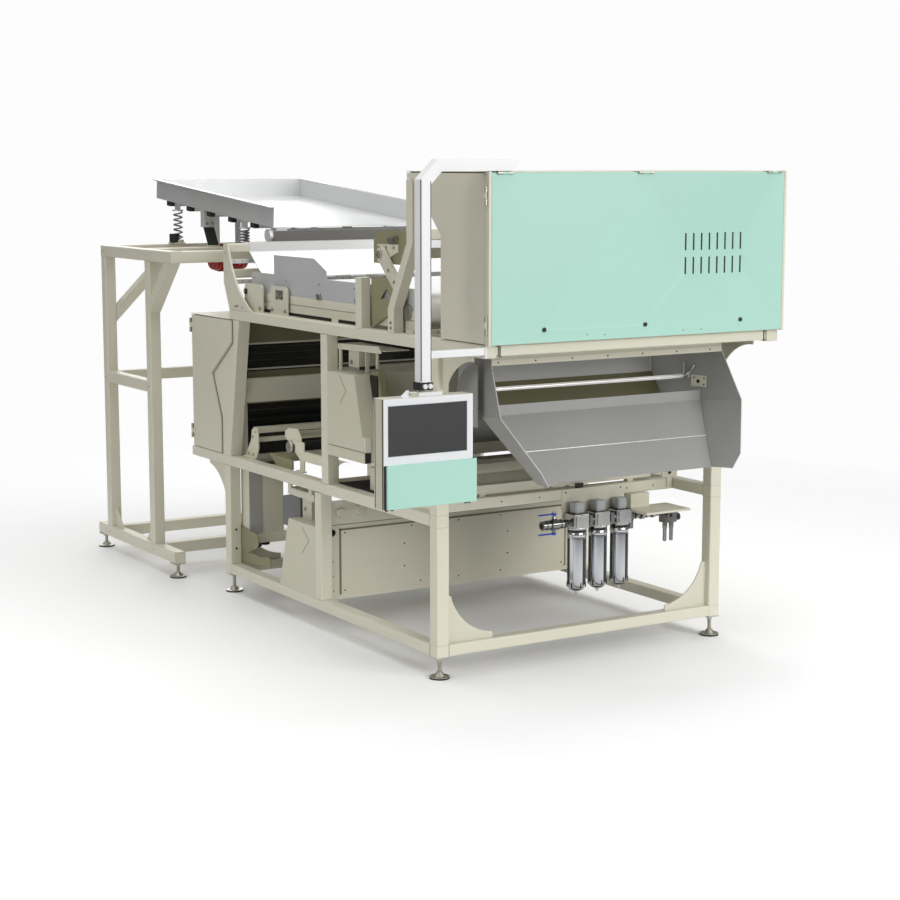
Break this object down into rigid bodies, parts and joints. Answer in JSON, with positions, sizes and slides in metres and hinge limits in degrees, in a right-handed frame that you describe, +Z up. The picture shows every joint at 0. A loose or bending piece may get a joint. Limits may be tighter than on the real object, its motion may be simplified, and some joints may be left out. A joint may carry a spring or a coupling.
{
  "type": "frozen food sorting machine",
  "caption": "Belt sorting machine on a welded tube frame, with a vibrating feed tray on its own stand, a discharge hood, a slotted top cabinet and a swivelling operator panel.",
  "frame": {"origin": "centre of the bounding box on the floor", "axes": "+Z up, +X to the right seen from the discharge end, +Y from the discharge hood back to the feeder"},
  "size_m": [2.097, 3.9094, 2.142],
  "materials": {
    "cream_paint": "satin cream powder coat",
    "mint_paint": "satin mint powder coat",
    "olive_paint": "satin grey-beige powder coat",
    "grey_paint": "satin grey powder coat",
    "red_paint": "deep red motor paint",
    "hood_sheet": "fine-grained stainless sheet",
    "bright_sheet": "cold-rolled stainless sheet",
    "steel": "turned steel",
    "zinc": "zinc-plated steel",
    "chrome": "bright plating",
    "spring": "drawn spring wire",
    "alloy": "light grey powder coat on an extrusion",
    "belt": "smooth white food belt",
    "black_block": "matt black",
    "dark_glass": "dark polished glass",
    "white_bezel": "smooth light grey frame",
    "screen": "dark screen film",
    "grey_cast": "grey painted casting",
    "blue_lever": "blue dipped grip"
  },
  "bodies": {
    "frame": {"front_posts": "cream_paint", "rear_posts": "cream_paint", "bottom_rails": "cream_paint", "middle_rails": "cream_paint", "upper_rails": "cream_paint", "uprights": "cream_paint", "frame_gussets": "cream_paint", "levelling_feet": "zinc", "conveyor_sides": "cream_paint", "roller_axles": "steel", "conveyor_belt": "belt", "belt_bed": "steel", "inlet_guards": "bright_sheet", "stand_posts": "cream_paint", "stand_base": "cream_paint", "stand_rails": "cream_paint", "spring_seats": "cream_paint", "coil_springs": "spring", "leaf_springs": "black_block", "gantry": "cream_paint", "drop_plate": "bright_sheet", "rear_box": "cream_paint", "view_windows": "dark_glass", "hinge_pins": "zinc", "cabinet_shell": "cream_paint", "cabinet_struts": "cream_paint", "pendant_arm": "alloy", "hood_sides": "hood_sheet", "hood_chute": "hood_sheet", "hood_back": "cream_paint", "camera_boxes": "olive_paint", "ejector_bar": "olive_paint", "product_chutes": "cream_paint", "lower_panel": "cream_paint", "filter_heads": "grey_cast", "filter_bowls": "chrome", "air_pipes": "steel"},
    "drive_roller": {"drive_roller": "steel"},
    "tail_roller": {"tail_roller": "steel"},
    "tray": {"tray_pan": "bright_sheet", "tray_ribs": "bright_sheet", "rib_blocks": "black_block", "vibrator_motors": "red_paint", "lip_tube": "bright_sheet", "tray_flap": "hood_sheet"},
    "front_cover": {"front_cover": "mint_paint", "cover_locks": "black_block"},
    "left_rear_door": {"left_rear_door": "cream_paint"},
    "right_rear_door": {"right_rear_door": "cream_paint"},
    "left_cabinet_door": {"left_cabinet_door": "cream_paint"},
    "right_cabinet_door": {"right_cabinet_door": "cream_paint"},
    "panel": {"panel_case": "grey_paint", "panel_bezel": "white_bezel", "panel_screen": "screen", "panel_lower_box": "mint_paint"},
    "splitter": {"splitter_bar": "steel"},
    "upper_lever": {"upper_lever": "blue_lever"},
    "lower_lever": {"lower_lever": "blue_lever"},
    "regulator_knob": {"regulator_knob": "black_block"}
  },
  "joints": [
    {"name": "drive_roller_spin", "type": "hinge", "parent": "frame", "child": "drive_roller", "pos_m": [0.1815, -1.21474, 1.505], "axis": [1, 0, 0], "continuous": true},
    {"name": "tail_roller_spin", "type": "hinge", "parent": "frame", "child": "tail_roller", "pos_m": [0.1815, 0.21526, 1.505], "axis": [1, 0, 0], "continuous": true},
    {"name": "tray_stroke", "type": "slide", "parent": "frame", "child": "tray", "axis": [0, -0.8534, 0.5212], "range_m": [-0.004, 0.004], "stiffness_N_per_m": 60000, "springref_m": 0.012, "deforming": ["coil_springs", "leaf_springs"]},
    {"name": "front_cover_hinge", "type": "hinge", "parent": "frame", "child": "front_cover", "pos_m": [0.1815, -1.93624, 2.088], "axis": [-1, 0, 0], "range_deg": [0, 85]},
    {"name": "left_rear_door_hinge", "type": "hinge", "parent": "frame", "child": "left_rear_door", "pos_m": [-0.574, 0.85026, 1.03], "axis": [0, 0, -1], "range_deg": [0, 110]},
    {"name": "right_rear_door_hinge", "type": "hinge", "parent": "frame", "child": "right_rear_door", "pos_m": [0.937, 0.85026, 1.03], "axis": [0, 0, 1], "range_deg": [0, 110]},
    {"name": "left_cabinet_door_hinge", "type": "hinge", "parent": "frame", "child": "left_cabinet_door", "pos_m": [-0.574, -1.91674, 1.75], "axis": [0, 0, 1], "range_deg": [0, 70]},
    {"name": "right_cabinet_door_hinge", "type": "hinge", "parent": "frame", "child": "right_cabinet_door", "pos_m": [0.937, -1.91674, 1.75], "axis": [0, 0, -1], "range_deg": [0, 70]},
    {"name": "panel_swivel", "type": "hinge", "parent": "frame", "child": "panel", "pos_m": [-0.8515, -1.90774, 1.3], "axis": [0, 0, 1], "range_deg": [-90, 90]},
    {"name": "splitter_turn", "type": "hinge", "parent": "frame", "child": "splitter", "pos_m": [0.1815, -1.53974, 1.199], "axis": [1, 0, 0], "range_deg": [-20, 20]},
    {"name": "upper_lever_turn", "type": "hinge", "parent": "frame", "child": "upper_lever", "pos_m": [0.1765, -1.31374, 0.596], "axis": [0, 0, 1], "range_deg": [0, 90]},
    {"name": "lower_lever_turn", "type": "hinge", "parent": "frame", "child": "lower_lever", "pos_m": [0.1765, -1.31374, 0.508], "axis": [0, 0, 1], "range_deg": [0, 90]},
    {"name": "regulator_turn", "type": "hinge", "parent": "frame", "child": "regulator_knob", "pos_m": [0.8595, -1.31374, 0.52], "axis": [1, 0, 0], "range_deg": [-150, 150]}
  ],
  "couplings": [
    {"joint": "tail_roller_spin", "follows": "drive_roller_spin", "ratio": 1}
  ]
}
